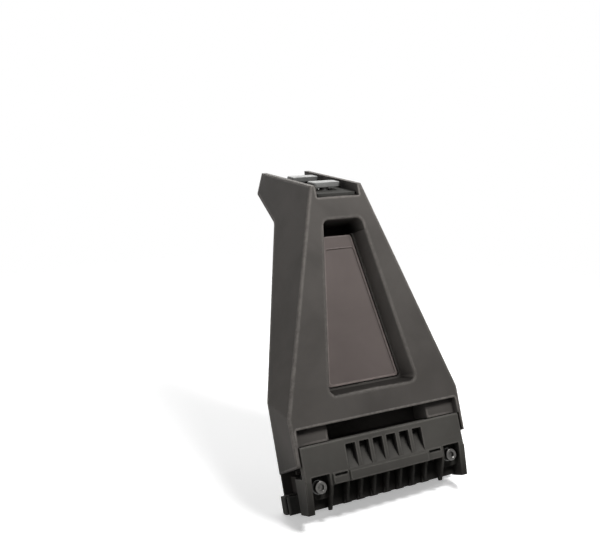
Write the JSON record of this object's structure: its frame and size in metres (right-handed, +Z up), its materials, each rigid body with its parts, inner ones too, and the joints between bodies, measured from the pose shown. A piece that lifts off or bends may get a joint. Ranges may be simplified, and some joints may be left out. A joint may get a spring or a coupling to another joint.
{
  "type": "roof bar foot",
  "caption": "Tall leaning roof bar foot for rain gutters: moulded leg with a bar saddle on top, a rubber gutter shoe and a screw-drawn clamp jaw at its base.",
  "frame": {"origin": "middle of the shoe's underside, where it stands in the gutter", "axes": "X along the gutter, +Y inboard along the bar, +Z up; the saddle is level and the leg leans inboard"},
  "size_m": [0.1364, 0.169, 0.214],
  "materials": {
    "leg_plastic": "grained glass-filled nylon",
    "panel_plastic": "fine matt moulded face",
    "jaw_plastic": "grained glass-filled nylon",
    "rubber": "matt black rubber",
    "zinc_steel": "zinc-plated steel",
    "screw_steel": "dark zinc-plated steel",
    "nylon": "natural nylon",
    "brass": "turned brass"
  },
  "bodies": {
    "leg": {"leg_body": "leg_plastic", "front_panel": "panel_plastic", "bar_pad": "rubber", "spreader_plate": "zinc_steel", "foot_pad": "rubber", "clamp_insert_left": "brass", "clamp_insert_right": "brass", "bar_bolt_front": "zinc_steel", "bar_washer_front": "zinc_steel", "bar_nut_front": "zinc_steel", "bar_bolt_rear": "zinc_steel", "bar_washer_rear": "zinc_steel", "bar_nut_rear": "zinc_steel"},
    "jaw": {"clamp_jaw": "jaw_plastic", "jaw_pad": "rubber", "clamp_washer_left": "zinc_steel", "clamp_washer_right": "zinc_steel"},
    "screw_left": {"clamp_bolt_left": "screw_steel", "bolt_retainer_left": "nylon"},
    "screw_right": {"clamp_bolt_right": "screw_steel", "bolt_retainer_right": "nylon"}
  },
  "joints": [
    {"name": "jaw_travel", "type": "slide", "parent": "leg", "child": "jaw", "axis": [0, -0.9143, 0.4051], "range_m": [-0.005, 0.006]},
    {"name": "screw_left_turn", "type": "hinge", "parent": "jaw", "child": "screw_left", "pos_m": [-0.0525, -0.02083, 0.02728], "axis": [0, -0.9143, 0.4051], "range_deg": [-2250, 2700]},
    {"name": "screw_right_turn", "type": "hinge", "parent": "jaw", "child": "screw_right", "pos_m": [0.0525, -0.02083, 0.02728], "axis": [0, -0.9143, 0.4051], "range_deg": [-2250, 2700]}
  ],
  "couplings": [
    {"joint": "screw_left_turn", "follows": "jaw_travel", "rad_per_m": 7854},
    {"joint": "screw_right_turn", "follows": "jaw_travel", "rad_per_m": 7854}
  ]
}
